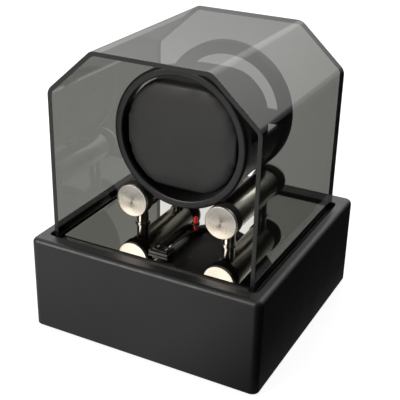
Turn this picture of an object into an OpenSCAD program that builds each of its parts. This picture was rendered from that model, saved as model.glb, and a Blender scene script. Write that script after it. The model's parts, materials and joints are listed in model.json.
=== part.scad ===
/* [Base box] */
// Width of the box across its front
base_w = 167; // [164:1:200]
// Depth of the box from front to back
base_d = 167; // [164:1:200]
// Height of the rim above the table, feet included
base_h = 68; // [64:0.5:90]
// Width of the flat rim on either side of the cover
rim_w = 8; // [7:0.1:8]
// How far the deck lies below the rim
rim_drop = 4.5; // [3:0.5:6]
// Radius of the upright corners
corner_r = 5; // [4.6:0.1:8]
// Radius of the top edge
edge_r = 3.8; // [1:0.1:4]

/* [Smoked cover] */
// Width of the cover over its side walls
cover_w = 145.8; // [144:0.1:148]
// Length of the cover from its open front to its open back
cover_l = 136.5; // [120:0.5:140]
// Thickness of the bent sheet
cover_t = 3; // [2:0.5:3]
// Height of the cover's top above the table
cover_top = 198; // [196:1:215]
// Width of the flat top between its bends
cover_flat_w = 80; // [70:1:90]
// Height of the bend between wall and slope
cover_shoulder = 168.4; // [160:0.1:172]
// Outer radius of the four bends
bend_r = 8; // [5:0.5:12]

/* [Drum and rollers] */
// Outer radius of the two hoops that roll on the wheels
hoop_r = 47.6; // [46:0.1:48]
// Radius of the rubber-tyred wheels
wheel_r = 11.6; // [11:0.1:12]
// Distance from the middle of the box to each roller axis
roller_x = 33.1; // [32:0.1:34]
// Height of the roller axes above the mirror
roller_lift = 21.8; // [21:0.1:24]
// Length of the drum over its hoops
drum_l = 76; // [74:0.5:76]

/* [Watch cushion] */
// Width of the cushion
cushion_w = 78; // [62:0.5:78.5]
// Height of the cushion
cushion_h = 72; // [62:0.5:73]
// Length of the cushion along the drum
cushion_l = 52; // [50:0.5:56]

/* [Hidden] */
$fn = 64;

// Colours
LEATHER = "#232325";
BLACK = "#161617";
RUBBER = "#1c1c1c";
STEEL = "#b9b6ae";
BRONZE = "#a9783f";
MIRROR = "#8f8d84";
WOOD = "#a98a5f";

// Levels of the box
feet_h = 1.5;
side_wall_t = 12;
end_wall_t = 16.5;
deck_t = 6;
mirror_t = 2.5;
deck_top = base_h - rim_drop;
deck_z = deck_top - deck_t;
mirror_top = deck_top + mirror_t;
panel_t = 4;
panel_top = feet_h + panel_t;
cavity_w = base_w - 2 * side_wall_t;
cavity_d = base_d - 2 * end_wall_t;
recess_w = base_w - 2 * rim_w;
recess_d = cover_l + 5.3;
recess_r = 3;

// Mirror plate, which stands a little forward of the middle
mirror_w = 137;
mirror_l = 131;
mirror_y = -0.5;

// Cover
cover_y = -2;
slot_depth = 3;
slot_play = 0.2;
cover_foot = deck_top - slot_depth;

// Corner blocks and their screws
block_w = 18;
panel_screw_x = 66.5;
panel_screw_y = 62;
deck_screw_x = 62;
deck_screw_y = 59;
foot_xy = 55;

// Rollers and drum
roller_z = mirror_top + roller_lift;
roll_gap = 0.15;
drum_z = roller_z + sqrt(pow(hoop_r + wheel_r + roll_gap, 2) - pow(roller_x, 2));
drum_front = -34;
drum_rear = drum_front + drum_l;
wheel_w = 7;
cap_t = 2;
front_wheel_y = -35;
rear_wheel_y = 35;
side_gap = 0.3;
tube_front = front_wheel_y + wheel_w + side_gap;
tube_rear = rear_wheel_y - side_gap;
tube_r = 10.7;
tube_bore_r = 9.3;
block_l = 10.4;
front_post_y = tube_front + block_l / 2;
rear_post_y = tube_rear - block_l / 2;
post_r = 4.25;
stud_r = 2.5;
stud_bore_r = 1.3;
stud_top = roller_z - 5.8;
lead_z = stud_top + 0.75;
shaft_r = 1.5;
bush_r = 3;

// Drum shell and hoops
shell_r = 45.4;
shell_bore_r = 43.2;
front_hoop_l = 8;
rear_hoop_l = 9;
hoop_open_r = 41.8;
lip_t = 2.5;
holder_r = 38.6;
holder_t = 3;
window_drop = 0;
peg_w = 11.8;

// Cushion
cushion_front = -31.5;
cushion_r = 30;
core_w = 40;
core_h = 36;
core_l = 42;

// Gearmotor
motor_w = 12;
motor_h = 10;
gearbox_l = 9;
can_l = 15;
gearbox_y = -6;

// Switch and lamp
switch_y = -54;
switch_l = 15;
switch_w = 10.5;
rocker_z = mirror_top + 1.2;
rocker_tilt = 8;
led_y = -7;

// Charger socket
jack_x = 45;
jack_z = 24;
jack_back = base_d / 2;

function arc(c, r, a0, a1, n = 10) =
    [for (i = [0:n]) c + r * [cos(a0 + (a1 - a0) * i / n), sin(a0 + (a1 - a0) * i / n)]];

function rounded_rect(w, d, r) = concat(
    arc([w / 2 - r, d / 2 - r], r, 0, 90),
    arc([-w / 2 + r, d / 2 - r], r, 90, 180),
    arc([-w / 2 + r, -d / 2 + r], r, 180, 270),
    arc([w / 2 - r, -d / 2 + r], r, 270, 360));

function flip(points) = [for (i = [len(points) - 1:-1:0]) [-points[i][0], points[i][1]]];
function turned(points) = [for (i = [len(points) - 1:-1:0]) points[i]];

module plate(w, d, t, r) { linear_extrude(t) polygon(rounded_rect(w, d, r)); }

// Lays a solid of revolution along +Y, so that its own Z is the object's Y
module along_y(x, y, z) { translate([x, y, z]) rotate([-90, 0, 0]) children(); }

module ring(r_out, r_in, l) {
    difference() {
        cylinder(r = r_out, h = l);
        translate([0, 0, -1]) cylinder(r = r_in, h = l + 2);
    }
}

module at_corners(x, y) {
    for (sx = [-1, 1], sy = [-1, 1]) translate([sx * x, sy * y, 0]) children();
}

module at_posts() {
    for (x = [-roller_x, roller_x], y = [front_post_y, rear_post_y]) translate([x, y, 0]) children();
}

// ---------------------------------------------------------------- box

module case_corner() {
    rotate_extrude($fn = 32) polygon(concat(
        [[0, feet_h]],
        arc([corner_r - 0.8, feet_h + 0.8], 0.8, -90, 0, 4),
        arc([corner_r - edge_r, base_h - edge_r], edge_r, 0, 90, 8),
        [[0, base_h]]));
}

module base_case() {
    color(LEATHER) difference() {
        hull() at_corners(base_w / 2 - corner_r, base_d / 2 - corner_r) case_corner();
        translate([0, 0, -1]) plate(cavity_w, cavity_d, deck_z + 1.01, 2);
        translate([0, cover_y, deck_z]) plate(recess_w, recess_d, rim_drop + deck_t + 1, recess_r);
        // pocket and hole for the charger socket
        translate([jack_x - 10, cavity_d / 2 - 1, jack_z - 10]) cube([20, 1 + end_wall_t - 3, 20]);
        along_y(jack_x, cavity_d / 2, jack_z) cylinder(r = 4.1, h = end_wall_t + 1);
        along_y(jack_x, jack_back - 1.5, jack_z) cylinder(r = 6.2, h = 3);
    }
}

module corner_blocks() {
    color(WOOD) for (sx = [-1, 1], sy = [-1, 1]) difference() {
        translate([sx * (cavity_w - block_w) / 2, sy * (cavity_d - block_w) / 2,
            (panel_top + deck_z) / 2])
            cube([block_w, block_w, deck_z - panel_top - 0.02], center = true);
        // the corners clear the small radius inside the case
        translate([sx * cavity_w / 2, sy * cavity_d / 2, 0]) rotate(45)
            cube([3.2, 3.2, 3 * base_h], center = true);
        translate([sx * panel_screw_x, sy * panel_screw_y, panel_top - 1])
            cylinder(r = 1.75, h = 17, $fn = 32);
        translate([sx * deck_screw_x, sy * deck_screw_y, deck_z - 14])
            cylinder(r = 1.75, h = 15, $fn = 32);
    }
}

module bottom_panel() {
    color(BLACK) difference() {
        translate([0, 0, feet_h]) plate(cavity_w - 0.4, cavity_d - 0.4, panel_t, 2);
        at_corners(panel_screw_x, panel_screw_y) {
            cylinder(r = 1.9, h = panel_top + 1, $fn = 32);
            translate([0, 0, feet_h - 0.01]) cylinder(r1 = 3.6, r2 = 1.9, h = 2, $fn = 32);
        }
        at_corners(foot_xy, foot_xy) cylinder(r = 2.55, h = feet_h + 3, $fn = 32);
    }
}

module wood_screw(l) {
    cylinder(r = 1.7, h = l, $fn = 32);
    cylinder(r1 = 3.4, r2 = 1.7, h = 1.8, $fn = 32);
}

module bottom_screws() {
    color(STEEL) at_corners(panel_screw_x, panel_screw_y) difference() {
        translate([0, 0, feet_h + 0.1]) wood_screw(16);
        // cross recess
        for (a = [0, 90]) rotate(a) translate([-1.6, -0.35, feet_h - 1]) cube([3.2, 0.7, 2]);
    }
}

module rubber_feet() {
    color(RUBBER) at_corners(foot_xy, foot_xy) {
        cylinder(r1 = 7.4, r2 = 8, h = feet_h, $fn = 48);
        cylinder(r = 2.5, h = feet_h + 2.9, $fn = 32);
    }
}

// ---------------------------------------------------------------- deck

// The openings that pass through the deck board and the mirror alike
module deck_openings() {
    at_posts() cylinder(r = stud_r + 0.1, h = base_h + 5, $fn = 32);
    translate([-6.7, switch_y - 4.5, 0]) cube([13.4, 9, base_h + 5]);
    translate([0, led_y, 0]) cylinder(r = 2.15, h = base_h + 5, $fn = 32);
}

module deck_board() {
    color(BLACK) difference() {
        translate([0, cover_y, deck_z]) plate(recess_w - 0.4, recess_d - 0.4, deck_t, recess_r - 0.2);
        deck_openings();
        at_corners(deck_screw_x, deck_screw_y) {
            cylinder(r = 1.9, h = base_h, $fn = 32);
            translate([0, 0, deck_top - 2]) cylinder(r1 = 1.9, r2 = 3.6, h = 2.01, $fn = 32);
        }
        // one groove for each foot of the cover
        for (s = [-1, 1])
            translate([s * (cover_w - cover_t) / 2, cover_y, deck_top])
                cube([cover_t + 2 * slot_play, cover_l + 2 * slot_play, 2 * slot_depth], center = true);
    }
}

module deck_screws() {
    color(STEEL) at_corners(deck_screw_x, deck_screw_y)
        translate([0, 0, deck_top - 0.1]) mirror([0, 0, 1]) difference() {
            wood_screw(18);
            for (a = [0, 90]) rotate(a) translate([-1.6, -0.35, -1]) cube([3.2, 0.7, 2]);
        }
}

module mirror_deck() {
    color(MIRROR) difference() {
        translate([0, mirror_y, deck_top]) plate(mirror_w, mirror_l, mirror_t, 1.5);
        deck_openings();
    }
}

// Half of the cover's section, from its foot to the middle of the top, at a depth below its face
function cover_half(inset) =
    let (w = cover_w / 2, f = cover_flat_w / 2,
        slope = atan2(cover_top - cover_shoulder, w - f),
        wall_turn = 90 - slope,
        c1 = [w - bend_r, cover_shoulder - bend_r * tan(wall_turn / 2)],
        c2 = [f - bend_r * tan(slope / 2), cover_top - bend_r],
        r = bend_r - inset)
    concat([[w - inset, cover_foot]], arc(c1, r, 0, wall_turn, 8), arc(c2, r, wall_turn, 90, 8));

module smoked_cover() {
    outer = concat(cover_half(0), flip(cover_half(0)));
    inner = concat(cover_half(cover_t), flip(cover_half(cover_t)));
    color("#5b5c58", 0.5) translate([0, cover_y + cover_l / 2, 0]) rotate([90, 0, 0])
        linear_extrude(cover_l) polygon(concat(outer, turned(inner)));
}

// ---------------------------------------------------------------- roller stands

module support_posts() {
    color(STEEL) difference() {
        at_posts() translate([0, 0, mirror_top]) {
            cylinder(r = post_r, h = roller_z - mirror_top - 7);
            cylinder(r = post_r + 1, h = 1.2);
        }
        for (x = [-roller_x, roller_x])
            along_y(x, tube_front - 1, roller_z) cylinder(r = tube_r + 0.02, h = 80);
        at_posts() cylinder(r = stud_r + 0.05, h = 2 * base_h, $fn = 32);
    }
}

module post_studs() {
    color(STEEL) at_posts() translate([0, 0, deck_z - 7])
        ring(stud_r, stud_bore_r, stud_top - deck_z + 7, $fn = 32);
}

module stud_washers() {
    color(STEEL) at_posts() translate([0, 0, deck_z - 1.02]) ring(5.5, stud_r + 0.1, 1);
}

module stud_nuts() {
    color(STEEL) at_posts() difference() {
        translate([0, 0, deck_z - 5.04]) cylinder(d = 9.2, h = 4, $fn = 6);
        cylinder(r = stud_r + 0.03, h = base_h, $fn = 32);
    }
}

module roller_tube(x) {
    color(STEEL) difference() {
        along_y(x, tube_front, roller_z) ring(tube_r, tube_bore_r, tube_rear - tube_front);
        for (y = [front_post_y, rear_post_y])
            translate([x, y, roller_z - tube_r - 2]) cylinder(r = stud_r + 0.1, h = 8, $fn = 32);
    }
}

module drive_tube() { roller_tube(roller_x); }

module idler_tube() { roller_tube(-roller_x); }

// Each block closes a tube end, holds a bush or pin and takes the top of a stud
module end_block(x, y, bore_r) {
    difference() {
        along_y(x, y, roller_z) ring(tube_bore_r - 0.03, bore_r, block_l);
        translate([x, y + block_l / 2, roller_z - tube_r])
            cylinder(r = stud_r + 0.03, h = stud_top - roller_z + tube_r + 0.3, $fn = 32);
    }
}

module tube_end_blocks() {
    front = tube_front;
    rear = tube_rear - block_l;
    color(BLACK) {
        end_block(-roller_x, front, bush_r + 0.02);
        end_block(-roller_x, rear, bush_r + 0.02);
        end_block(roller_x, front, bush_r + 0.02);
        difference() {
            end_block(roller_x, rear, shaft_r + 0.02);
            // way for the motor leads from the stud to the inside of the tube
            along_y(roller_x, rear - 1, lead_z) cylinder(r = 1.25, h = block_l / 2 + 2, $fn = 32);
        }
    }
}

module shaft_bushes() {
    color(BRONZE) {
        for (x = [-roller_x, roller_x])
            along_y(x, tube_front, roller_z) ring(bush_r, shaft_r + 0.05, block_l);
        along_y(-roller_x, tube_rear - block_l, roller_z) ring(bush_r, shaft_r + 0.05, block_l);
    }
}

// ---------------------------------------------------------------- gearmotor inside the drive tube

module motor_gearbox() {
    color(BRONZE) difference() {
        translate([roller_x - motor_w / 2, gearbox_y, roller_z - motor_h / 2])
            cube([motor_w, gearbox_l, motor_h]);
        along_y(roller_x, gearbox_y - 1, roller_z) cylinder(r = shaft_r + 0.05, h = 5, $fn = 32);
    }
}

module motor_can() {
    color(STEEL) {
        intersection() {
            along_y(roller_x, gearbox_y + gearbox_l, roller_z) cylinder(r = motor_w / 2, h = can_l);
            translate([roller_x - motor_w / 2, gearbox_y, roller_z - motor_h / 2])
                cube([motor_w, 2 * can_l, motor_h]);
        }
        along_y(roller_x, gearbox_y + gearbox_l + can_l - 0.01, roller_z) cylinder(r = 2, h = 1);
    }
}

module motor_sleeve() {
    color(BLACK) difference() {
        along_y(roller_x, gearbox_y + 1, roller_z)
            cylinder(r = tube_bore_r - 0.03, h = gearbox_l + can_l - 2);
        translate([roller_x, 0, roller_z])
            cube([motor_w + 0.06, 80, motor_h + 0.06], center = true);
    }
}

// Two leads rise through the rear stud of the drive side and run forward to the motor
module motor_leads() {
    lead_r = 0.5;
    end_y = gearbox_y + gearbox_l + can_l + 0.2;
    color("#8c1f1c") for (s = [-1, 1]) {
        translate([roller_x + s * 0.62, rear_post_y, deck_z - 22])
            cylinder(r = lead_r, h = lead_z - deck_z + 22, $fn = 16);
        translate([roller_x + s * 0.62, rear_post_y, lead_z]) sphere(r = lead_r, $fn = 16);
        along_y(roller_x + s * 0.62, end_y, lead_z)
            cylinder(r = lead_r, h = rear_post_y - end_y, $fn = 16);
    }
}

// ---------------------------------------------------------------- wheels

// Wheel parts are drawn with the cap's outer face at y = 0 and the wheel behind it
module wheel_cap() {
    rotate_extrude() polygon(concat(
        [[0, 0]], arc([wheel_r - 0.6, 0.5], 0.5, -90, 0, 4),
        [[wheel_r - 0.1, cap_t], [3.96, cap_t], [3.96, cap_t + 1.4], [0, cap_t + 1.4]]));
}

module wheel_hub(bore_r) {
    difference() {
        translate([0, 0, cap_t]) cylinder(r = wheel_r - 2, h = wheel_w);
        translate([0, 0, cap_t - 1]) cylinder(r = 4, h = 2.5);
        translate([0, 0, cap_t]) cylinder(r = bore_r, h = wheel_w + 1, $fn = 32);
    }
}

module wheel_tyre() {
    rotate_extrude() polygon(concat(
        [[wheel_r - 1.98, cap_t + 0.02]],
        arc([wheel_r - 0.5, cap_t + 0.52], 0.5, -90, 0, 4),
        arc([wheel_r - 0.5, cap_t + wheel_w - 0.5], 0.5, 0, 90, 4),
        [[wheel_r - 1.98, cap_t + wheel_w]]));
}

module facing_front(x) { along_y(x, front_wheel_y - cap_t, roller_z) children(); }

module facing_rear(x) {
    translate([x, rear_wheel_y + wheel_w + cap_t, roller_z]) rotate([90, 0, 0]) children();
}

// How far a shaft reaches past the inner face of its wheel
shaft_reach = wheel_w - 2;

module drive_shaft() {
    color(STEEL) along_y(roller_x, tube_front - side_gap - shaft_reach, roller_z)
        cylinder(r = shaft_r, h = gearbox_y + 3.5 - tube_front + side_gap + shaft_reach, $fn = 32);
}

module drive_wheel_hub() { color(BLACK) facing_front(roller_x) wheel_hub(shaft_r + 0.02); }

module drive_wheel_tyre() { color(RUBBER) facing_front(roller_x) wheel_tyre(); }

module drive_wheel_cap() { color(STEEL) facing_front(roller_x) wheel_cap(); }

module rear_stub_axle() {
    color(STEEL) along_y(roller_x, tube_rear - block_l + 1, roller_z)
        cylinder(r = shaft_r, h = block_l - 1 + side_gap + shaft_reach, $fn = 32);
}

module rear_wheel_hub() { color(BLACK) facing_rear(roller_x) wheel_hub(shaft_r + 0.06); }

module rear_wheel_tyre() { color(RUBBER) facing_rear(roller_x) wheel_tyre(); }

module rear_wheel_cap() { color(STEEL) facing_rear(roller_x) wheel_cap(); }

module idler_axle() {
    color(STEEL) along_y(-roller_x, tube_front - side_gap - shaft_reach, roller_z)
        cylinder(r = shaft_r, h = tube_rear - tube_front + 2 * (side_gap + shaft_reach), $fn = 32);
}

module idler_wheel_hubs() {
    color(BLACK) {
        facing_front(-roller_x) wheel_hub(shaft_r + 0.02);
        facing_rear(-roller_x) wheel_hub(shaft_r + 0.02);
    }
}

module idler_wheel_tyres() {
    color(RUBBER) {
        facing_front(-roller_x) wheel_tyre();
        facing_rear(-roller_x) wheel_tyre();
    }
}

module idler_wheel_caps() {
    color(STEEL) {
        facing_front(-roller_x) wheel_cap();
        facing_rear(-roller_x) wheel_cap();
    }
}

// ---------------------------------------------------------------- drum

module drum_shell() {
    y0 = drum_front + lip_t + 0.05;
    y1 = drum_rear - holder_t - 0.05;
    window_y0 = drum_front + front_hoop_l;
    window_y1 = drum_rear - rear_hoop_l;
    color(BLACK) difference() {
        along_y(0, y0, drum_z) ring(shell_r, shell_bore_r, y1 - y0, $fn = 96);
        // open window over the watch
        translate([-60, window_y0 + 1, drum_z + window_drop])
            cube([120, window_y1 - window_y0 - 2, 60]);
    }
}

module front_hoop() {
    color(BLACK) along_y(0, drum_front, drum_z) rotate_extrude($fn = 96) polygon(concat(
        arc([hoop_open_r + 1.2, 1.2], 1.2, 180, 270, 6),
        arc([hoop_r - 2, 2], 2, -90, 0, 8),
        arc([hoop_r - 0.5, front_hoop_l - 0.5], 0.5, 0, 90, 3),
        [[shell_r + 0.03, front_hoop_l], [shell_r + 0.03, lip_t], [hoop_open_r, lip_t]]));
}

module rear_hoop() {
    l = rear_hoop_l;
    color(BLACK) difference() {
        along_y(0, drum_rear - l, drum_z) rotate_extrude($fn = 96) polygon(concat(
            [[shell_r + 0.03, 0]],
            arc([hoop_r - 0.6, 0.6], 0.6, -90, 0, 4),
            arc([hoop_r - 1.2, l - 1.2], 1.2, 0, 90, 5),
            [[holder_r, l], [holder_r, l - holder_t], [shell_r + 0.03, l - holder_t]]));
        for (a = [45:90:315]) along_y(41 * cos(a), drum_rear - holder_t - 1, drum_z + 41 * sin(a))
            cylinder(r = 1.4, h = holder_t + 2, $fn = 32);
    }
}

// Ring with one cross bar and a square peg that the cushion slides on
module cushion_holder() {
    tip = cushion_front + cushion_l - 19.7;
    y0 = drum_rear - 2 * holder_t;
    color(BLACK) difference() {
        union() {
            along_y(0, y0, drum_z) ring(shell_bore_r - 0.1, holder_r, holder_t - 0.02, $fn = 96);
            translate([-holder_r - 1, y0, drum_z - 5]) cube([2 * holder_r + 2, holder_t - 0.02, 10]);
            along_y(0, y0, drum_z) cylinder(r = 13, h = holder_t - 0.02);
            translate([-peg_w / 2, tip, drum_z - peg_w / 2]) cube([peg_w, y0 + 0.5 - tip, peg_w]);
        }
        for (a = [45:90:315]) along_y(41 * cos(a), y0 - 1, drum_z + 41 * sin(a))
            cylinder(r = 1.27, h = holder_t + 2, $fn = 32);
    }
}

module holder_screws() {
    color(STEEL) for (a = [45:90:315])
        along_y(41 * cos(a), drum_rear - 2 * holder_t + 0.3, drum_z + 41 * sin(a)) difference() {
            union() {
                cylinder(r = 1.25, h = 2 * holder_t - 0.2, $fn = 32);
                translate([0, 0, 2 * holder_t - 0.3]) cylinder(r1 = 2.3, r2 = 1.9, h = 1.4, $fn = 32);
            }
            for (b = [0, 90]) rotate(b) translate([-1.2, -0.25, 2 * holder_t + 0.4]) cube([2.4, 0.5, 2]);
        }
}

// ---------------------------------------------------------------- cushion

module cushion_core() {
    rear = cushion_front + cushion_l;
    color(BLACK) difference() {
        translate([-core_w / 2, rear - core_l, drum_z - core_h / 2]) cube([core_w, core_l, core_h]);
        translate([-peg_w / 2 - 0.08, rear - 20, drum_z - peg_w / 2 - 0.08])
            cube([peg_w + 0.16, 21, peg_w + 0.16]);
    }
}

module cushion_pad() {
    rear = cushion_front + cushion_l;
    color(LEATHER) difference() {
        translate([0, rear, drum_z]) rotate([90, 0, 0])
            linear_extrude(cushion_l) polygon(rounded_rect(cushion_w, cushion_h, cushion_r));
        translate([-core_w / 2 - 0.05, rear - core_l - 0.05, drum_z - core_h / 2 - 0.05])
            cube([core_w + 0.1, core_l + 1, core_h + 0.1]);
    }
}

// ---------------------------------------------------------------- switch and lamp

module switch_body() {
    body_l = 13;
    body_w = 8.6;
    color(BLACK) difference() {
        union() {
            translate([-switch_l / 2, switch_y - switch_w / 2, mirror_top])
                cube([switch_l, switch_w, 2]);
            translate([-body_l / 2, switch_y - body_w / 2, mirror_top - 14]) cube([body_l, body_w, 14.5]);
        }
        translate([-6.05, switch_y - 3.8, mirror_top - 6]) cube([12.1, 7.6, 10]);
        along_y(0, switch_y - 5, rocker_z) cylinder(r = 0.85, h = 10, $fn = 32);
    }
}

module switch_rocker() {
    color(BLACK) translate([0, switch_y, rocker_z]) rotate([0, rocker_tilt, 0]) {
        rotate([90, 0, 0]) linear_extrude(7.2, center = true) polygon([
            [-5.5, 2.6], [0, 1.3], [5.5, 2.6], [5.5, 0.2], [2.2, -2.6], [-2.2, -2.6], [-5.5, 0.2]]);
        rotate([90, 0, 0]) cylinder(r = 0.8, h = 8.4, center = true, $fn = 32);
    }
}

module switch_terminals() {
    color(BRONZE) for (x = [-3.5, 3.5])
        translate([x - 0.4, switch_y - 2.4, mirror_top - 21]) cube([0.8, 4.8, 7]);
}

module led_lamp() {
    top = mirror_top + 5.5;
    color("#d01018") translate([0, led_y, 0]) {
        translate([0, 0, mirror_top - 5]) cylinder(r = 1.5, h = top - 1.5 - mirror_top + 5, $fn = 32);
        translate([0, 0, top - 1.5]) sphere(r = 1.5, $fn = 32);
        translate([0, 0, mirror_top - 6]) cylinder(r = 1.9, h = 1, $fn = 32);
    }
}

module led_clip() {
    color(BLACK) translate([0, led_y, 0]) {
        translate([0, 0, mirror_top]) ring(2.9, 1.56, 0.8, $fn = 32);
        translate([0, 0, mirror_top - 4.9]) ring(2.1, 1.56, 4.95, $fn = 32);
    }
}

// ---------------------------------------------------------------- parts inside the box

board_l = 70;
board_w = 34;
board_y = -42;
board_z = panel_top + 8;

module circuit_board() {
    color("#1f5c34") difference() {
        translate([-board_l / 2, board_y - board_w / 2, board_z]) cube([board_l, board_w, 1.6]);
        for (x = [-31, 31], y = [-13, 13]) translate([x, board_y + y, board_z - 1])
            cylinder(r = 1.6, h = 4, $fn = 32);
    }
}

module board_standoffs() {
    color(BLACK) for (x = [-31, 31], y = [-13, 13]) translate([x, board_y + y, panel_top]) {
        cylinder(r = 3, h = 7.98);
        cylinder(r = 1.5, h = 10.5, $fn = 32);
    }
}

module board_components() {
    top = board_z + 1.62;
    color("#2a2a2a") {
        translate([-12, board_y - 4, top]) cube([18, 8, 3]);
        translate([14, board_y + 6, top]) cylinder(r = 4, h = 11);
        translate([-27, board_y + 3, top]) cube([10, 6, 7]);
        translate([20, board_y - 11, top]) cube([8, 6, 7]);
    }
}

cell_r = 16.6;
cell_l = 60;
tray_y = 20;
cell_x = cell_r + 1.2;
cell_z = panel_top + 2.1 + cell_r;

module battery_tray() {
    l = cell_l + 7;
    w = 4 * cell_r + 8;
    color(BLACK) difference() {
        translate([-w / 2, tray_y - l / 2, panel_top]) cube([w, l, 22]);
        for (s = [-1, 1]) {
            along_y(s * cell_x, tray_y - cell_l / 2 - 1.2, cell_z) cylinder(r = cell_r + 0.2, h = cell_l + 2.4);
            translate([s * cell_x - cell_r - 0.2, tray_y - cell_l / 2 - 1.2, cell_z])
                cube([2 * cell_r + 0.4, cell_l + 2.4, 30]);
        }
    }
}

module battery_cells() {
    color("#2b3a55") for (s = [-1, 1]) {
        along_y(s * cell_x, tray_y - cell_l / 2, cell_z) cylinder(r = cell_r, h = cell_l - 1.5);
        along_y(s * cell_x, tray_y + cell_l / 2 - 1.6, cell_z) cylinder(r = 4.5, h = 1.6);
    }
}

module battery_contacts() {
    color(STEEL) for (s = [-1, 1], e = [-1, 1])
        translate([s * cell_x - 6, tray_y + e * (cell_l / 2 + 0.7) - 0.25, cell_z - 6])
            cube([12, 0.5, 12]);
}

// ---------------------------------------------------------------- charger socket

module dc_jack_body() {
    color(BLACK) difference() {
        union() {
            along_y(jack_x, jack_back - 1.5, jack_z) cylinder(r = 6, h = 1.4);
            along_y(jack_x, jack_back - 13, jack_z) cylinder(r = 4, h = 12);
        }
        along_y(jack_x, jack_back - 11, jack_z) cylinder(r = 2.85, h = 12);
    }
}

module dc_jack_pin() {
    color(STEEL) {
        along_y(jack_x, jack_back - 10.98, jack_z) cylinder(r = 1.05, h = 9, $fn = 32);
        along_y(jack_x, jack_back - 17, jack_z) cylinder(r = 0.9, h = 3.98, $fn = 32);
    }
}

module dc_jack_nut() {
    color(STEEL) difference() {
        along_y(jack_x, jack_back - 5.1, jack_z) cylinder(d = 12.5, h = 2, $fn = 6);
        along_y(jack_x, jack_back - 8, jack_z) cylinder(r = 4.03, h = 8);
    }
}

base_case();
corner_blocks();
bottom_panel();
bottom_screws();
rubber_feet();
deck_board();
deck_screws();
mirror_deck();
smoked_cover();
support_posts();
post_studs();
stud_washers();
stud_nuts();
drive_tube();
idler_tube();
tube_end_blocks();
shaft_bushes();
motor_gearbox();
motor_can();
motor_sleeve();
motor_leads();
drive_shaft();
drive_wheel_hub();
drive_wheel_tyre();
drive_wheel_cap();
rear_stub_axle();
rear_wheel_hub();
rear_wheel_tyre();
rear_wheel_cap();
idler_axle();
idler_wheel_hubs();
idler_wheel_tyres();
idler_wheel_caps();
drum_shell();
front_hoop();
rear_hoop();
cushion_holder();
holder_screws();
cushion_core();
cushion_pad();
switch_body();
switch_rocker();
switch_terminals();
led_lamp();
led_clip();
circuit_board();
board_standoffs();
board_components();
battery_tray();
battery_cells();
battery_contacts();
dc_jack_body();
dc_jack_pin();
dc_jack_nut();
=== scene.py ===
import json
import math
import bpy
import bmesh
import numpy as np
from mathutils import Matrix, Vector


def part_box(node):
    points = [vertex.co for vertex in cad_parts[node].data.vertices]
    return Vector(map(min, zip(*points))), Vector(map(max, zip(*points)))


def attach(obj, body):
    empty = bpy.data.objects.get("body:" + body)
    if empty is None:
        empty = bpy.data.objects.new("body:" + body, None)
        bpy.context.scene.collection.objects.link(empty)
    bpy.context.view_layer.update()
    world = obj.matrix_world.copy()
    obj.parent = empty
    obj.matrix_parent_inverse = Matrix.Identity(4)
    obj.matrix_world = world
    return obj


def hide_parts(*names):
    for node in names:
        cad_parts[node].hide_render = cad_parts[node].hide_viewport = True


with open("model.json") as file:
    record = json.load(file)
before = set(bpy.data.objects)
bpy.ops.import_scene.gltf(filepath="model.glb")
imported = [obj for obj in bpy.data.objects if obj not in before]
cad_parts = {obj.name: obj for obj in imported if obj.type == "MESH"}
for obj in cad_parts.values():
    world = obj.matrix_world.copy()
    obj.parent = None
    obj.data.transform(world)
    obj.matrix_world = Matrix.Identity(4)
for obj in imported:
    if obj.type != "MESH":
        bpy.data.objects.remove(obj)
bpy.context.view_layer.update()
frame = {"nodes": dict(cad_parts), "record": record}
scene = bpy.context.scene
MM = 0.001

# ---------------------------------------------------------------- camera

# Where the camera stands, which way it turns and its lens
CAMERA_AT = Vector((0.24686, -0.4895, 0.34429))
CAMERA_AZIMUTH, CAMERA_HEIGHT, CAMERA_ROLL = (math.radians(a) for a in (26.82, 25.65, 1.43))
CAMERA_LENS = 79.18


def make_camera():
    back = Vector((math.sin(CAMERA_AZIMUTH) * math.cos(CAMERA_HEIGHT),
                   -math.cos(CAMERA_AZIMUTH) * math.cos(CAMERA_HEIGHT), math.sin(CAMERA_HEIGHT)))
    right = Vector((0, 0, 1)).cross(back).normalized()
    up = back.cross(right)
    c, s = math.cos(CAMERA_ROLL), math.sin(CAMERA_ROLL)
    across, upward = c * right + s * up, -s * right + c * up
    data = bpy.data.cameras.new("camera")
    data.lens, data.sensor_width = CAMERA_LENS, 36
    data.clip_start, data.clip_end = 0.02, 50
    camera = bpy.data.objects.new("camera", data)
    scene.collection.objects.link(camera)
    turn = Matrix((across, upward, back)).transposed().to_4x4()
    camera.matrix_world = Matrix.Translation(CAMERA_AT) @ turn
    scene.camera = camera


make_camera()

# ---------------------------------------------------------------- finishes


def wire(tree, kind, inputs=None, **settings):
    """A new node with its settings, and its inputs linked or set."""
    made = tree.nodes.new(kind)
    for key, value in settings.items():
        setattr(made, key, value)
    for key, value in (inputs or {}).items():
        if isinstance(value, bpy.types.NodeSocket):
            tree.links.new(value, made.inputs[key])
        else:
            made.inputs[key].default_value = value
    return made


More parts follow.
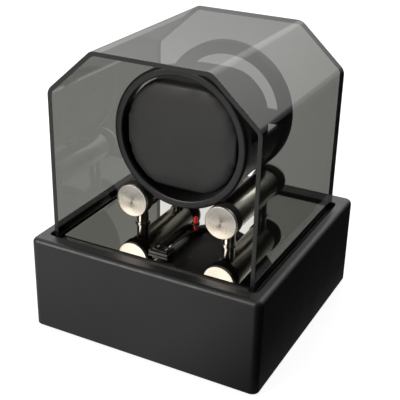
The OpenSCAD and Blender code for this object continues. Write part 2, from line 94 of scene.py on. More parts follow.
class Finish:
    """A material in the making: one Principled shader and short calls for the patterns that feed it."""

    def __init__(self, name, colour, rough, **sockets):
        self.material = bpy.data.materials.new(name)
        self.material.use_nodes = True
        self.tree = self.material.node_tree
        self.shader = self.tree.nodes["Principled BSDF"]
        self.shader.inputs["Base Color"].default_value = (*colour, 1)
        self.shader.inputs["Roughness"].default_value = rough
        for socket, value in sockets.items():
            self.shader.inputs[socket.replace("_", " ")].default_value = value

    def node(self, kind, inputs=None, **settings):
        return wire(self.tree, kind, inputs, **settings)

    def place(self, stretch=(1, 1, 1), shift=(0, 0, 0)):
        """The piece's own coordinates in metres, stretched for a pattern."""
        at = self.node("ShaderNodeTexCoord").outputs["Object"]
        return self.node("ShaderNodeMapping", {"Vector": at, "Scale": stretch, "Location": shift}).outputs[0]

    def uv(self, name, stretch=(1, 1, 1)):
        at = self.node("ShaderNodeUVMap", uv_map=name).outputs[0]
        return self.node("ShaderNodeMapping", {"Vector": at, "Scale": stretch}).outputs[0]

    def noise(self, at, scale, detail=3.0, roughness=0.55, distortion=0.0):
        return self.node("ShaderNodeTexNoise", {"Vector": at, "Scale": scale, "Detail": detail,
                                                "Roughness": roughness, "Distortion": distortion}).outputs[0]

    def cells(self, at, scale):
        """Soft pebbles."""
        return self.node("ShaderNodeTexVoronoi", {"Vector": at, "Scale": scale}, feature="SMOOTH_F1").outputs["Distance"]

    def maths(self, operation, a, b):
        return self.node("ShaderNodeMath", {0: a, 1: b}, operation=operation).outputs[0]

    def spread(self, value, low, high, from_low=0.0, from_high=1.0):
        return self.node("ShaderNodeMapRange", {"Value": value, "From Min": from_low, "From Max": from_high,
                                                "To Min": low, "To Max": high}).outputs[0]

    def tint(self, value, dark, light, low=0.3, high=0.7):
        """The colour runs from dark to light with the value."""
        ramp = self.node("ShaderNodeValToRGB", {"Fac": value})
        ramp.color_ramp.elements[0].position, ramp.color_ramp.elements[1].position = low, high
        ramp.color_ramp.elements[0].color = (*dark, 1)
        ramp.color_ramp.elements[1].color = (*light, 1)
        self.tree.links.new(ramp.outputs[0], self.shader.inputs["Base Color"])

    def gloss(self, value, low, high, from_low=0.3, from_high=0.7):
        """Roughness from low to high with the value."""
        rough = self.spread(value, low, high, from_low, from_high)
        self.tree.links.new(rough, self.shader.inputs["Roughness"])

    def relief(self, height, depth):
        bump = self.node("ShaderNodeBump", {"Height": height, "Distance": depth, "Strength": 1.0})
        self.tree.links.new(bump.outputs[0], self.shader.inputs["Normal"])


def shades(colour, spread):
    return tuple(c * (1 - spread) for c in colour), tuple(min(1, c * (1 + spread)) for c in colour)


def leather(name, colour, rough, grain, depth, spread=0.18):
    """Fine pebble grain, with softer and shinier patches."""
    f = Finish(name, colour, rough)
    at = f.place()
    warp = f.noise(at, grain * 0.35, 2)
    pebble = f.cells(at, grain)
    fine = f.noise(at, grain * 2.2, 2)
    height = f.maths("ADD", f.maths("MULTIPLY", pebble, -1.0), f.maths("MULTIPLY", fine, 0.35))
    height = f.maths("ADD", height, f.maths("MULTIPLY", warp, 0.3))
    f.tint(f.noise(at, 22, 3), *shades(colour, spread))
    f.gloss(f.noise(at, 60, 4), rough - 0.05, rough + 0.06)
    f.relief(height, depth)
    return f.material


def moulded(name, colour, rough, depth=0.00002, grain=1800, spread=0.2):
    """Plastic or rubber with a fine moulded texture."""
    f = Finish(name, colour, rough)
    at = f.place()
    f.tint(f.noise(at, 70, 3), *shades(colour, spread))
    f.gloss(f.noise(at, 130, 3), rough - 0.05, rough + 0.07)
    f.relief(f.noise(at, grain, 2), depth)
    return f.material


def brushed(name, colour, rough, stretch, depth=0.000012, spread=0.1, vary=0.07):
    """Metal with fine lines across the stretched direction."""
    f = Finish(name, colour, rough, Metallic=1.0)
    at = f.place(stretch)
    lines = f.noise(at, 1.0, 4, 0.6)
    patches = f.noise(f.place(), 45, 3)
    f.tint(f.maths("ADD", f.maths("MULTIPLY", lines, 0.6), f.maths("MULTIPLY", patches, 0.4)),
           *shades(colour, spread))
    f.gloss(lines, rough - vary, rough + vary)
    f.relief(lines, depth)
    return f.material


def turned_metal(name, colour, rough):
    """Metal turned in fine circles: the pattern follows the radius, and the tangent runs round the axis."""
    f = Finish(name, colour, rough, Metallic=1.0, Anisotropic=0.85)
    rings = f.noise(f.uv("turning", (0.6, 4200, 1)), 1.0, 3, 0.7)
    f.tint(rings, *shades(colour, 0.09))
    f.gloss(rings, rough - 0.04, rough + 0.06)
    f.relief(rings, 0.0000012)
    tangent = f.node("ShaderNodeTangent", direction_type="UV_MAP", uv_map="turning").outputs[0]
    f.tree.links.new(tangent, f.shader.inputs["Tangent"])
    return f.material


def timber(name, colour, rough, depth=0.00006):
    f = Finish(name, colour, rough)
    at = f.place((60, 60, 9), shift=(0.3, 0.1, 0))
    rings = f.noise(at, 4.0, 4, 0.6, 1.4)
    f.tint(rings, *shades(colour, 0.3), 0.35, 0.65)
    f.gloss(rings, rough - 0.08, rough + 0.06)
    f.relief(rings, depth)
    return f.material


def smoked_sheet(name, passes, ior):
    """One face of a tinted clear sheet: it shines with the angle and lets the rest through, tinted."""
    f = Finish(name, passes, 0.0)
    nodes, links = f.tree.nodes, f.tree.links
    nodes.remove(f.shader)
    clear = f.node("ShaderNodeBsdfTransparent", {"Color": (*passes, 1)})
    shine = f.node("ShaderNodeBsdfGlossy", {"Color": (1, 1, 1, 1), "Roughness": 0.02})
    # faint handling marks on the polish
    marks = f.noise(f.place(), 26, 4, 0.6)
    links.new(f.spread(marks, 0.015, 0.05, 0.35, 0.75), shine.inputs["Roughness"])
    # only the face that meets the eye shines: the ray leaves through the other one
    inside = f.node("ShaderNodeNewGeometry").outputs["Backfacing"]
    fresnel = f.node("ShaderNodeFresnel", {"IOR": ior}).outputs[0]
    share = f.maths("MULTIPLY", fresnel, f.maths("SUBTRACT", 1.0, inside))
    mix = f.node("ShaderNodeMixShader", {0: share, 1: clear.outputs[0], 2: shine.outputs[0]})
    links.new(mix.outputs[0], nodes["Material Output"].inputs["Surface"])
    return f.material


def tinted_mirror(name, colour):
    f = Finish(name, colour, 0.02, Metallic=1.0)
    at = f.place()
    f.tint(f.noise(at, 18, 2), *shades(colour, 0.02))
    f.gloss(f.noise(at, 30, 4), 0.015, 0.04)
    return f.material


def lamp_plastic(name, colour, glow):
    f = Finish(name, colour, 0.12, Emission_Strength=glow)
    at = f.place((1, 1, 220))
    f.tint(f.noise(at, 1.0, 2), *shades(colour, 0.25))
    f.shader.inputs["Emission Color"].default_value = (1.0, 0.02, 0.02, 1)
    return f.material


FINISHES = {name: make(name, *values) for make, name, *values in (
    (leather, "wrapped_leather", (0.0078, 0.0082, 0.0096), 0.36, 900, 0.00003),
    (leather, "cushion_leather", (0.030, 0.0305, 0.032), 0.5, 1000, 0.00004, 0.12),
    (tinted_mirror, "tinted_mirror", (0.36, 0.352, 0.335)),
    (smoked_sheet, "smoked_acrylic", (0.385, 0.39, 0.375), 1.6),
    (moulded, "sheet_edge", (0.012, 0.013, 0.012), 0.18, 0.000004, 900),
    (brushed, "satin_steel", (0.47, 0.45, 0.395), 0.23, (60, 1500, 60), 0.0000012, 0.03, 0.025),
    (brushed, "post_steel", (0.50, 0.48, 0.44), 0.16, (90, 90, 2600)),
    (turned_metal, "spun_steel", (0.62, 0.585, 0.535), 0.27),
    (brushed, "steel_screw", (0.5, 0.5, 0.5), 0.26, (600, 600, 600)),
    (brushed, "motor_steel", (0.48, 0.48, 0.48), 0.3, (300, 60, 300)),
    (brushed, "contact_steel", (0.52, 0.52, 0.52), 0.26, (500, 60, 500)),
    (brushed, "bronze", (0.48, 0.29, 0.12), 0.34, (300, 900, 300)),
    (brushed, "terminal_brass", (0.55, 0.42, 0.2), 0.28, (500, 500, 90)),
    (moulded, "drum_plastic", (0.012, 0.012, 0.013), 0.32, 0.00001, 1500),
    (moulded, "black_plastic", (0.015, 0.015, 0.016), 0.42),
    (moulded, "switch_plastic", (0.010, 0.010, 0.011), 0.25, 0.000008, 1600),
    (moulded, "switch_mark", (0.5, 0.5, 0.5), 0.5, 0.000004, 1600, 0.06),
    (moulded, "cushion_foam_core", (0.02, 0.02, 0.02), 0.7, 0.00004, 900),
    (moulded, "tyre_rubber", (0.011, 0.011, 0.011), 0.62, 0.00003, 1300),
    (moulded, "foot_rubber", (0.014, 0.014, 0.014), 0.7, 0.00005, 900),
    (moulded, "panel_board", (0.02, 0.02, 0.021), 0.55, 0.00004, 700),
    (moulded, "blackened_wood", (0.010, 0.010, 0.0105), 0.4, 0.00004, 420),
    (timber, "pine_block", (0.46, 0.32, 0.18), 0.7),
    (moulded, "lead_insulation", (0.3, 0.015, 0.015), 0.42, 0.00001, 1200, 0.12),
    (lamp_plastic, "lamp_red", (0.34, 0.005, 0.008), 0.22),
    (moulded, "board_green", (0.015, 0.12, 0.05), 0.35, 0.00003, 500, 0.25),
    (moulded, "component_black", (0.022, 0.022, 0.022), 0.5, 0.00002, 1300),
    (moulded, "cell_label", (0.03, 0.06, 0.16), 0.3, 0.00001, 300, 0.12),
)}

# Each CAD node that stays gets its finish by the record's slot
SLOT_OF = {row["node"]: row["material_slot"] for row in frame["record"]["subparts"]}
for name, piece in frame["nodes"].items():
    piece.data.materials.clear()
    piece.data.materials.append(FINISHES[SLOT_OF[name]])

# ---------------------------------------------------------------- shaping tools


def rounded(points, radii, steps=5, closed=True):
    """The outline with each corner turned into an arc of its radius."""
    made, count = [], len(points)
    for i, (point, radius) in enumerate(zip(points, radii)):
        p = np.array(point, float)
        if radius <= 0 or (not closed and i in (0, count - 1)):
            made.append(p)
            continue
        a, b = np.array(points[i - 1], float) - p, np.array(points[(i + 1) % count], float) - p
        la, lb = np.linalg.norm(a), np.linalg.norm(b)
        a, b = a / la, b / lb
        angle = math.acos(np.clip(a @ b, -1, 1))
        cut = min(radius / math.tan(angle / 2), la * 0.49, lb * 0.49)
        r = cut * math.tan(angle / 2)
        centre = p + (a + b) / np.linalg.norm(a + b) * (r / math.sin(angle / 2))
        start, end = p + a * cut - centre, p + b * cut - centre
        sweep = math.atan2(start[0] * end[1] - start[1] * end[0], start @ end)
        for k in range(steps + 1):
            t = sweep * k / steps
            c, s = math.cos(t), math.sin(t)
            made.append(centre + np.array([c * start[0] - s * start[1], s * start[0] + c * start[1]]))
    return [tuple(p) for p in made]


def piece_from(name, points, faces, finish, uvs=None):
    mesh = bpy.data.meshes.new(name)
    mesh.from_pydata([tuple(p) for p in points], [], faces)
    if uvs is not None:
        layer = mesh.uv_layers.new(name="turning")
        flat = [c for face in uvs for corner in face for c in corner]
        layer.data.foreach_set("uv", flat)
    mesh.materials.append(FINISHES[finish])
    made = bpy.data.objects.new(name, mesh)
    scene.collection.objects.link(made)
    return made


def turn_round(name, profile, finish, steps=96, closed=True):
    """A solid of revolution about Z from a profile of (radius, height) in millimetres, with a UV map
    that runs round the axis and along the profile. An open profile ends on the axis."""
    angles = [2 * math.pi * i / steps for i in range(steps)]
    rows = len(profile)
    length = [0.0]
    loop = list(profile) + ([profile[0]] if closed else [])
    for a, b in zip(loop, loop[1:]):
        length.append(length[-1] + math.dist(a, b) * MM)
    points, index = [], {}
    for j, (r, h) in enumerate(profile):
        for i in range(steps):
            if r < 1e-6:
                index[i, j] = index[0, j] if i else len(points)
                if i:
                    continue
            else:
                index[i, j] = len(points)
            points.append((r * MM * math.cos(angles[i]), r * MM * math.sin(angles[i]), h * MM))
    faces, uvs = [], []
    for j in range(rows if closed else rows - 1):
        k = (j + 1) % rows
        for i in range(steps):
            n = (i + 1) % steps
            corners = [(index[i, j], i, j), (index[n, j], i + 1, j),
                       (index[n, k], i + 1, j + 1), (index[i, k], i, j + 1)]
            face, uv = [], []
            for v, ui, vj in corners:
                if v not in face:
                    face.append(v)
                    uv.append((ui / steps, length[vj]))
            if len(face) > 2:
                faces.append(face)
                uvs.append(uv)
    made = piece_from(name, points, faces, finish, uvs)
    outward(made)
    return made


def outward(made):
    """Normals outwards on a closed piece whose doubles are merged already."""
    b = bmesh.new()
    b.from_mesh(made.data)
    bmesh.ops.recalc_face_normals(b, faces=b.faces)
    b.to_mesh(made.data)
    b.free()
    return made


def smooth(made, angle=32):
    made.data.shade_smooth()
    made.data.set_sharp_from_angle(angle=math.radians(angle))
    return made


def flat(made):
    """Large faces keep their own normal, so that what they mirror stays straight."""
    modify(made, "WEIGHTED_NORMAL", keep_sharp=True)
    return settle(made)


def modify(made, kind, **settings):
    m = made.modifiers.new(kind.lower(), kind)
    for key, value in settings.items():
        setattr(m, key, value)
    return m


def settle(made):
    """Turns the piece with its modifiers into a plain mesh."""
    bpy.context.view_layer.update()
    graph = bpy.context.evaluated_depsgraph_get()
    mesh = bpy.data.meshes.new_from_object(made.evaluated_get(graph), preserve_all_data_layers=True,
                                           depsgraph=graph)
    made.modifiers.clear()
    old, made.data = made.data, mesh
    mesh.name = made.name
    if old.users == 0:
        bpy.data.meshes.remove(old)
    return made


def shift(made, matrix):
    """Moves the mesh itself, so that the object stays at the origin."""
    made.data.transform(matrix)
    if matrix.determinant() < 0:
        made.data.flip_normals()
    return made


def along_y(x, y, z, backwards=False):
    """Lays a piece turned about Z along the object's Y axis, from a point in millimetres."""
    turn = Matrix.Rotation(math.radians(90 if backwards else -90), 4, "X")
    return Matrix.Translation((x * MM, y * MM, z * MM)) @ turn


def upright(x, y, z):
    return Matrix.Translation((x * MM, y * MM, z * MM))


def fit(made, body, slot, *nodes):
    """The finished piece rides on its body and stands for its CAD nodes."""
    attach(made, body)
    if nodes:
        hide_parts(*nodes)
    return made


def joined(name, parts):
    """Several meshes as one piece, each keeping its finish."""
    bpy.context.view_layer.update()
    first = parts[0]
    with bpy.context.temp_override(active_object=first, object=first, selected_objects=parts,
                                   selected_editable_objects=parts):
        bpy.ops.object.join()
    first.name = first.data.name = name
    return first


def box_of(name):
    low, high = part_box(name)
    return [v / MM for v in low], [v / MM for v in high]


def prism(name, outline, z0, z1, finish, holes=(), edge=0.4, steps=2):
    """A flat plate with holes from outlines in millimetres, with softened edges."""
    b = bmesh.new()
    edges = []
    for loop in [outline, *holes]:
        corners = [b.verts.new((x * MM, y * MM, z0 * MM)) for x, y in loop]
        edges += [b.edges.new((corners[i - 1], corners[i])) for i in range(len(corners))]
    filled = bmesh.ops.triangle_fill(b, use_beauty=True, use_dissolve=False, edges=edges)
    faces = [g for g in filled["geom"] if isinstance(g, bmesh.types.BMFace)]
    grown = bmesh.ops.extrude_face_region(b, geom=faces, use_keep_orig=True)
    for g in grown["geom"]:
        if isinstance(g, bmesh.types.BMVert):
            g.co.z = z1 * MM
    bmesh.ops.dissolve_limit(b, angle_limit=0.001, verts=b.verts, edges=b.edges)
    bmesh.ops.recalc_face_normals(b, faces=b.faces)
    mesh = bpy.data.meshes.new(name)
    b.to_mesh(mesh)
    b.free()
    mesh.materials.append(FINISHES[finish])
    made = bpy.data.objects.new(name, mesh)
    scene.collection.objects.link(made)
    if edge:
        modify(made, "BEVEL", width=edge * MM, segments=steps, limit_method="ANGLE",
               angle_limit=math.radians(50))
        settle(made)
    smooth(made, 40)
    return made


def rectangle(w, d, r, x=0, y=0, steps=6):
    left, right, front, rear = x - w / 2, x + w / 2, y - d / 2, y + d / 2
    return rounded([(left, front), (right, front), (right, rear), (left, rear)], [r] * 4, steps)


def circle(x, y, r, steps=40):
    return [(x + r * math.cos(2 * math.pi * i / steps), y + r * math.sin(2 * math.pi * i / steps))
            for i in range(steps)]


def carve(made, cutter):
    """Takes the cutter's shape out of the piece."""
    modify(made, "BOOLEAN", operation="DIFFERENCE", solver="EXACT", object=cutter)
    settle(made)
    bpy.data.objects.remove(cutter)
    return made


# ---------------------------------------------------------------- geometry nodes


def new_tree(name, sockets):
    tree = bpy.data.node_groups.new(name, "GeometryNodeTree")
    tree.interface.new_socket("Geometry", in_out="OUTPUT", socket_type="NodeSocketGeometry")
    for label, kind in sockets:
        tree.interface.new_socket(label, in_out="INPUT", socket_type="NodeSocket" + kind)
    return tree, tree.nodes.new("NodeGroupInput"), tree.nodes.new("NodeGroupOutput")


def grow(name, tree, finish, **inputs):
    """Runs a tree with its named inputs and keeps the result as a plain mesh."""
    made = bpy.data.objects.new(name, bpy.data.meshes.new(name))
    scene.collection.objects.link(made)
    modifier = made.modifiers.new("shape", "NODES")
    modifier.node_group = tree
    sockets = {s.name: s.identifier for s in tree.interface.items_tree
               if s.item_type == "SOCKET" and s.in_out == "INPUT"}
    for label, value in {**inputs, "Finish": FINISHES[finish]}.items():
        modifier[sockets[label.replace("_", " ")]] = value
    settle(made)
    return made


def four_copies_tree():
    """Four copies of a piece at the corners of a rectangle, turned together about the middle."""
    tree, give, take = new_tree("four copies", [("Piece", "Object"), ("Width", "Float"), ("Depth", "Float"),
                                                ("Middle", "Vector"), ("Turn", "Vector"), ("Finish", "Material")])
    grid = wire(tree, "GeometryNodeMeshGrid", {"Size X": give.outputs["Width"], "Size Y": give.outputs["Depth"],
                                               "Vertices X": 2, "Vertices Y": 2})
    piece = wire(tree, "GeometryNodeObjectInfo", {"Object": give.outputs["Piece"]}, transform_space="ORIGINAL")
    copies = wire(tree, "GeometryNodeInstanceOnPoints", {"Points": grid.outputs[0],
                                                         "Instance": piece.outputs["Geometry"]})
    real = wire(tree, "GeometryNodeRealizeInstances", {"Geometry": copies.outputs[0]})
    turn = wire(tree, "FunctionNodeEulerToRotation", {"Euler": give.outputs["Turn"]})
    placed = wire(tree, "GeometryNodeTransform", {"Geometry": real.outputs[0],
                                                  "Translation": give.outputs["Middle"]})
    tree.links.new(turn.outputs[0], placed.inputs["Rotation"])
    coated = wire(tree, "GeometryNodeSetMaterial", {"Geometry": placed.outputs[0],
                                                    "Material": give.outputs["Finish"]})
    tree.links.new(coated.outputs[0], take.inputs[0])
    return tree


def bent_sheet_tree():
    """A sheet bent round half an octagon and cut to a length. Its thickness comes after."""
    tree, give, take = new_tree("bent sheet", [("Half width", "Float"), ("Half flat", "Float"), ("Foot", "Float"),
                                               ("Shoulder", "Float"), ("Top", "Float"), ("Bend radius", "Float"),
                                               ("Front", "Float"), ("Length", "Float"), ("Finish", "Material")])
    g = give.outputs

    def corner(side, across, height):
        x = wire(tree, "ShaderNodeMath", {0: g[across], 1: float(side)}, operation="MULTIPLY").outputs[0]
        return wire(tree, "ShaderNodeCombineXYZ", {"X": x, "Y": g["Front"], "Z": g[height]}).outputs[0]

    spots = [corner(-1, "Half width", "Foot"), corner(-1, "Half width", "Shoulder"), corner(-1, "Half flat", "Top"),
             corner(1, "Half flat", "Top"), corner(1, "Half width", "Shoulder"), corner(1, "Half width", "Foot")]
    line = wire(tree, "GeometryNodeMeshLine", {"Count": 6})
    here = wire(tree, "GeometryNodeInputIndex").outputs[0]
    shape = line.outputs[0]
    for i, spot in enumerate(spots):
        chosen = wire(tree, "FunctionNodeCompare", {2: here, 3: i}, data_type="INT", operation="EQUAL").outputs[0]
        shape = wire(tree, "GeometryNodeSetPosition", {"Geometry": shape, "Selection": chosen,
                                                       "Position": spot}).outputs[0]
    path = wire(tree, "GeometryNodeMeshToCurve", {"Mesh": shape}).outputs[0]
    bent = wire(tree, "GeometryNodeFilletCurve", {"Curve": path, "Count": 14, "Radius": g["Bend radius"]},
                mode="POLY").outputs[0]
    sheet = wire(tree, "GeometryNodeCurveToMesh", {"Curve": bent})
    width = wire(tree, "GeometryNodeExtrudeMesh", {"Mesh": sheet.outputs[0]}, mode="EDGES")
    run = wire(tree, "ShaderNodeCombineXYZ", {"Y": g["Length"]}).outputs[0]
    tree.links.new(run, width.inputs["Offset"])
    real = wire(tree, "GeometryNodeRealizeInstances", {"Geometry": width.outputs[0]}).outputs[0]
    coated = wire(tree, "GeometryNodeSetMaterial", {"Geometry": real, "Material": g["Finish"]})
    tree.links.new(coated.outputs[0], take.inputs[0])
    return tree


FOUR_COPIES = four_copies_tree()


def four(name, piece, width, depth, middle, finish, turn=(0, 0, 0)):
    made = grow(name, FOUR_COPIES, finish, Piece=piece, Width=width * MM, Depth=depth * MM,
                Middle=[m * MM for m in middle], Turn=list(turn))
    bpy.data.objects.remove(piece)
    return smooth(made)


# ---------------------------------------------------------------- box

case_low, case_high = box_of("base_case")
deck_low, deck_high = box_of("deck_board")
panel_low, panel_high = box_of("bottom_panel")
DECK = deck_high[2]
RIM = case_high[2]


def make_case():
    """The wrapped box: soft outer edges, a flat top, a square well for the cover and an open underside."""
    half, base = case_high[0], case_low[2]
    e = 3.8  # radius of the top edge
    corner_r, lip, well_r = 5, 0.9, 3
    well_x, well_y = deck_high[0] + 0.2, (deck_high[1] - deck_low[1]) / 2 + 0.2
    middle = (deck_high[1] + deck_low[1]) / 2
    inner_x, inner_y = panel_high[0] + 0.2, panel_high[1] + 0.2
    # (half width, half depth, middle, corner radius in plan, height)
    outside = [(0.8, base), (0.3, base + 0.2), (0.05, base + 0.55), (0, base + 1), (0, base + 8),
               (0, RIM - 9), (0, RIM - e - 0.8)]
    section = [(half - i, half - i, 0, corner_r - i, z) for i, z in outside]
    for t in [math.radians(9 * k) for k in range(11)]:
        i = e - e * math.cos(t)
        section.append((half - i, half - i, 0, corner_r - i, RIM - e + e * math.sin(t)))
    section.append((half - e - 0.5, half - e - 0.5, 0, 1.2, RIM))
    section.append((well_x + 1.3, well_y + 1.3, middle, 4.3, RIM))
    for t in [math.radians(18 * k) for k in range(6)]:
        i = lip - lip * math.sin(t)
        section.append((well_x + i, well_y + i, middle, well_r + i, RIM - lip + lip * math.cos(t)))
    section += [(well_x, well_y, middle, well_r, z) for z in (DECK + 1, deck_low[2])]
    section += [(inner_x, inner_y, 0, 2, z) for z in (deck_low[2], base + 4, base)]
    rings = []
    for across, along, y, corner, height in section:
        rings.append([(px, py, height) for px, py in rectangle(2 * across, 2 * along, corner, 0, y, steps=10)])
    n, rows = len(rings[0]), len(rings)
    points = [tuple(c * MM for c in p) for ring in rings for p in ring]
    faces = [[j * n + i, j * n + (i + 1) % n, ((j + 1) % rows) * n + (i + 1) % n, ((j + 1) % rows) * n + i]
             for j in range(rows) for i in range(n)]
    case = outward(piece_from("leather_case", points, faces, "wrapped_leather"))
    jack_low, jack_high = box_of("dc_jack_body")
    x, z = (jack_low[0] + jack_high[0]) / 2, (jack_low[2] + jack_high[2]) / 2
    for r, depth in ((4.1, 12), (6.2, 1.5)):
        cutter = turn_round("socket hole", [(0, 0), (r, 0), (r, 20), (0, 20)], "wrapped_leather", 48, closed=False)
        carve(case, shift(cutter, along_y(x, case_high[1] - depth, z)))
    flat(smooth(case, 40))
    return fit(case, "base", "wrapped_leather", "base_case")


make_case()


def make_feet():
    low, high = box_of("rubber_feet")
    foot = turn_round("foot", rounded([(0, 0), (7.4, 0), (8, 1.5), (2.5, 1.5), (2.5, high[2]), (0, high[2])],
                                      [0, 0.5, 0.3, 0.1, 0.4, 0], 4, closed=False), "foot_rubber", 56, closed=False)
    span = high[0] - low[0] - 16
    made = four("rubber_feet_set", foot, span, span, (0, 0, 0), "foot_rubber")
    fit(made, "base", "foot_rubber", "rubber_feet")


make_feet()


def cross_screw(name, head_r, head_h, shank_r, length, dome=0.0):
    """A cross-recessed screw, head down, with its face at height zero."""
    outline = [(0, -dome), (head_r * 0.6, -dome), (head_r, 0.0), (shank_r, head_h), (shank_r, length - 1.5),
               (0, length)]
    profile = rounded(outline, [0, head_r * 0.4 if dome else 0, 0.15, 0.2, 0.2, 0], 4, closed=False)
    screw = turn_round(name, profile, "steel_screw", 40, closed=False)
    for a in (0, 90):
        slot = prism("slot", rectangle(head_r * 0.95, 0.62, 0.1, steps=2), -dome - 1, 0.8, "steel_screw", edge=0)
        shift(slot, Matrix.Rotation(math.radians(a), 4, "Z"))
        carve(screw, slot)
    return screw


SCREW_HEAD_R = 3.4


def make_screws():
    for label, end, turn in (("bottom_screw", 0, 0), ("deck_screw", 1, math.pi)):
        box = low, high = box_of(label + "s")
        screw = cross_screw("screw", SCREW_HEAD_R, 1.8, 1.7, high[2] - low[2])
        made = four(label + "_set", screw, high[0] - low[0] - 2 * SCREW_HEAD_R,
                    high[1] - low[1] - 2 * SCREW_HEAD_R, (0, 0, box[end][2]), "steel_screw", turn=(turn, 0, 0))
        fit(made, "base", "steel_screw", label + "s")
    low, high = box_of("holder_screws")
    middle = [(a + b) / 2 for a, b in zip(low, high)]
    screw = cross_screw("screw", 2.3, 1.2, 1.25, high[1] - low[1] - 0.3, dome=0.3)
    span = 41 * math.sqrt(2)
    made = four("holder_screw_set", screw, span, span, (middle[0], high[1] - 0.3, middle[2]), "steel_screw",
                turn=(math.pi / 2, 0, 0))
    fit(made, "drum", "steel_screw", "holder_screws")


make_screws()


def make_panel():
    """The underside board with its screw holes."""
    low, high = panel_low, panel_high
    screws = box_of("bottom_screws")[1]
    holes = [circle(sx * (screws[0] - SCREW_HEAD_R), sy * (screws[1] - SCREW_HEAD_R), 3.5, 32)
             for sx in (-1, 1) for sy in (-1, 1)]
    panel = prism("underside_board", rectangle(2 * high[0], 2 * high[1], 2), low[2], high[2], "panel_board",
                  holes, edge=0.35)
    fit(panel, "base", "panel_board", "bottom_panel")


make_panel()

# ---------------------------------------------------------------- deck and cover

mirror_low, mirror_high = box_of("mirror_deck")
MIRROR = mirror_high[2]
POSTS = box_of("post_studs")
post_x = POSTS[1][0] - 2.5
post_front, post_rear = POSTS[0][1] + 2.5, POSTS[1][1] - 2.5
SWITCH = box_of("switch_body")
switch_y = (SWITCH[0][1] + SWITCH[1][1]) / 2
LED = box_of("led_lamp")
led_y = (LED[0][1] + LED[1][1]) / 2


def make_mirror():
    w, d = mirror_high[0] - mirror_low[0], mirror_high[1] - mirror_low[1]
    y = (mirror_high[1] + mirror_low[1]) / 2
    holes = [circle(sx * post_x, py, 2.6, 32) for sx in (-1, 1) for py in (post_front, post_rear)]
    holes += [rectangle(13.4, 9, 0.6, 0, switch_y, 3), circle(0, led_y, 2.15, 32)]
    plate = prism("mirror_plate", rectangle(w, d, 1.5, 0, y), mirror_low[2], MIRROR, "tinted_mirror", holes,
                  edge=0.5)
    flat(smooth(plate, 30))
    fit(plate, "base", "tinted_mirror", "mirror_deck")


make_mirror()


def make_cover():
    low, high = box_of("smoked_cover")
    t, bend_r = 3.0, 8
    # outside corners of the section: where the walls bend and where the flat top ends
    wall_x, shoulder_z, flat_x, top_z = 72.9, 168.4, 40, 198
    slope = math.atan2(top_z - shoulder_z, wall_x - flat_x)
    cover = grow("smoked_acrylic_cover", bent_sheet_tree(), "smoked_acrylic", Half_width=(high[0] - t / 2) * MM,
                 Half_flat=(flat_x - t / 2 * math.tan(slope / 2)) * MM, Foot=low[2] * MM,
                 Shoulder=(shoulder_z - t / 2 * math.tan((math.pi / 2 - slope) / 2)) * MM,
                 Top=(high[2] - t / 2) * MM, Bend_radius=(bend_r - t / 2) * MM, Front=low[1] * MM,
                 Length=(high[1] - low[1]) * MM)
    modify(cover, "SOLIDIFY", thickness=t * MM, offset=0, use_even_offset=True)
    modify(cover, "BEVEL", width=0.3 * MM, segments=2, limit_method="ANGLE", angle_limit=math.radians(60))
    settle(cover)
    outward(cover)
    cover.data.materials.clear()
    cover.data.materials.append(FINISHES["smoked_acrylic"])
    cover.data.materials.append(FINISHES["sheet_edge"])
    for face in cover.data.polygons:
        foot = face.center.z < (low[2] + 0.31) * MM
        face.material_index = 1 if abs(face.normal.y) > 0.3 or foot else 0
    flat(smooth(cover, 25))
    fit(cover, "cover", "smoked_acrylic", "smoked_cover")


make_cover()

# ---------------------------------------------------------------- rollers

TUBE = box_of("drive_tube")
roller_x = (TUBE[0][0] + TUBE[1][0]) / 2
roller_z = (TUBE[0][2] + TUBE[1][2]) / 2
tube_r = (TUBE[1][0] - TUBE[0][0]) / 2
tube_y0, tube_y1 = TUBE[0][1], TUBE[1][1]
WHEEL = box_of("drive_wheel_tyre")
wheel_r = (WHEEL[1][0] - WHEEL[0][0]) / 2
CAP = box_of("drive_wheel_cap")
REAR_CAP = box_of("rear_wheel_cap")


def make_posts():
    low = box_of("support_posts")[0]
    r, bore = 4.25, 2.55
    top = roller_z - tube_r + 0.95 - low[2]
    outline = [(bore, 0), (r + 1, 0), (r + 1, 1.2), (r, 1.2), (r, 7.0), (r - 0.12, 7.12), (r - 0.12, 7.5),
               (r, 7.62), (r, top), (bore, top)]
    post = turn_round("post", rounded(outline, [0, 0.15, 0.3, 0.15, 0, 0, 0, 0, 0, 0], 4), "post_steel", 64)
    made = four("roller_post_set", post, 2 * roller_x, post_rear - post_front,
                (0, (post_rear + post_front) / 2, low[2]), "post_steel")
    fit(made, "base", "satin_steel", "support_posts")


make_posts()


def make_tube(name, x, node):
    length = tube_y1 - tube_y0
    r, bore = tube_r, tube_r - 1.4
    profile = rounded([(bore, 0), (r, 0), (r, length), (bore, length)], [0.25, 0.35, 0.35, 0.25], 3)
    tube = shift(turn_round(name, profile, "satin_steel", 128), along_y(x, tube_y0, roller_z))
    smooth(tube)
    fit(tube, "base", "satin_steel", node)


make_tube("drive_side_tube", roller_x, "drive_tube")
make_tube("idler_side_tube", -roller_x, "idler_tube")


def cap_piece(name):
    """A turned steel cap with a crisp face edge and a short spigot."""
    r = wheel_r - 0.1
    profile = rounded([(0, 0), (r - 0.05, 0), (r, 2.0), (3.96, 2.0), (3.96, 3.4), (0, 3.4)],
                      [0, 0.45, 0.15, 0.1, 0.3, 0], 5, closed=False)
    profile = [(0, 0)] + [(k * (r - 0.9) / 10, 0) for k in range(1, 10)] + profile[1:]
    return turn_round(name, profile, "spun_steel", 128, closed=False)


